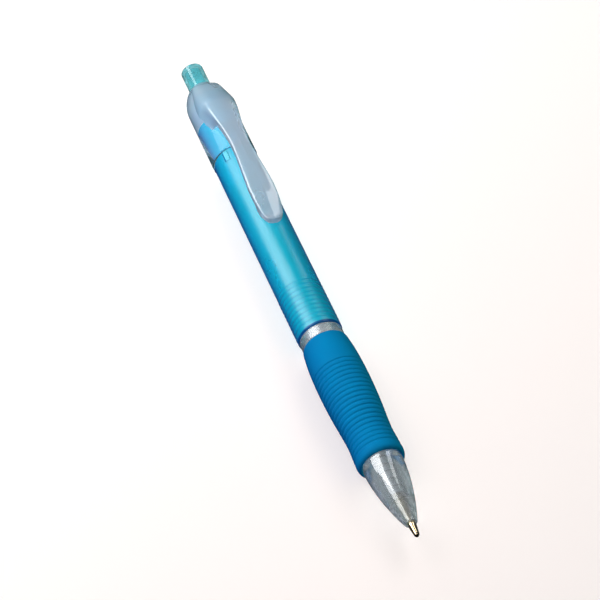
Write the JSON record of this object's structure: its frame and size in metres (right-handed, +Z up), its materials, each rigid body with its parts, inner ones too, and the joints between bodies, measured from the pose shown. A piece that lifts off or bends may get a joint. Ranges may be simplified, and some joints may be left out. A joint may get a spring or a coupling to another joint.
{
  "type": "retractable gel pen",
  "caption": "Retractable click pen: clear push button, frosted cap and clip, translucent barrel, grooved rubber grip, clear nose, metal ball tip and a refill with its return spring.",
  "frame": {"origin": "on the surface that the pen lies on, under the middle of its box", "axes": "+X along the pen towards the writing tip, +Z up towards the clip, +Y to the left seen from the button end"},
  "size_m": [0.1416, 0.0114, 0.0141],
  "materials": {
    "button": "clear turquoise polished plastic",
    "mechanism": "turquoise moulded plastic",
    "frosted_cap": "frosted milky translucent plastic",
    "barrel": "satin translucent blue plastic",
    "clear_front": "clear, slightly frosted plastic",
    "grip_rubber": "matt blue rubber",
    "refill_plastic": "natural translucent plastic",
    "ink": "dark blue gel",
    "follower_grease": "clear yellowish grease",
    "spring_wire": "drawn steel wire",
    "tip_metal": "polished nickel silver",
    "ball_metal": "polished dark carbide"
  },
  "bodies": {
    "pen_shell": {"barrel": "barrel", "clip_cap": "frosted_cap", "guide_sleeve": "mechanism", "return_spring": "spring_wire"},
    "grip_sleeve": {"grip": "grip_rubber"},
    "front": {"front_section": "clear_front"},
    "clip": {"clip_arm": "frosted_cap"},
    "plunger": {"push_button": "button", "thrust_crown": "mechanism"},
    "rotor": {"rotor_cam": "mechanism"},
    "refill": {"refill_tail_plug": "refill_plastic", "refill_tube": "refill_plastic", "ink_follower": "follower_grease", "ink_column": "ink", "tip_adapter": "refill_plastic", "tip_socket": "tip_metal", "ball_spring": "spring_wire"},
    "ball": {"writing_ball": "ball_metal"}
  },
  "joints": [
    {"name": "button_click", "type": "slide", "parent": "pen_shell", "child": "plunger", "axis": [1, 0, 0], "range_m": [-0.0055, 0.0012], "stiffness_N_per_m": 300},
    {"name": "refill_slide", "type": "slide", "parent": "pen_shell", "child": "refill", "axis": [1, 0, 0], "range_m": [-0.0055, 0.0012], "deforming": ["return_spring"]},
    {"name": "rotor_turn", "type": "hinge", "parent": "plunger", "child": "rotor", "pos_m": [-0.0378, 0, 0.0057], "axis": [1, 0, 0], "continuous": true},
    {"name": "ball_roll", "type": "hinge", "parent": "refill", "child": "ball", "pos_m": [0.0703, 0, 0.0057], "axis": [0, 1, 0], "continuous": true},
    {"name": "front_advance", "type": "slide", "parent": "pen_shell", "child": "grip_sleeve", "axis": [1, 0, 0], "range_m": [0, 0.00617]},
    {"name": "front_unscrew", "type": "hinge", "parent": "grip_sleeve", "child": "front", "pos_m": [0.0072, 0, 0.0057], "axis": [1, 0, 0], "range_deg": [0, 1800]},
    {"name": "clip_flex", "type": "hinge", "parent": "pen_shell", "child": "clip", "pos_m": [-0.04665, 0, 0.013], "axis": [0, -1, 0], "range_deg": [0, 5], "stiffness_Nm_per_rad": 3.3}
  ],
  "couplings": [
    {"joint": "refill_slide", "follows": "button_click", "ratio": 1},
    {"joint": "front_unscrew", "follows": "front_advance", "rad_per_m": 5087.6}
  ]
}
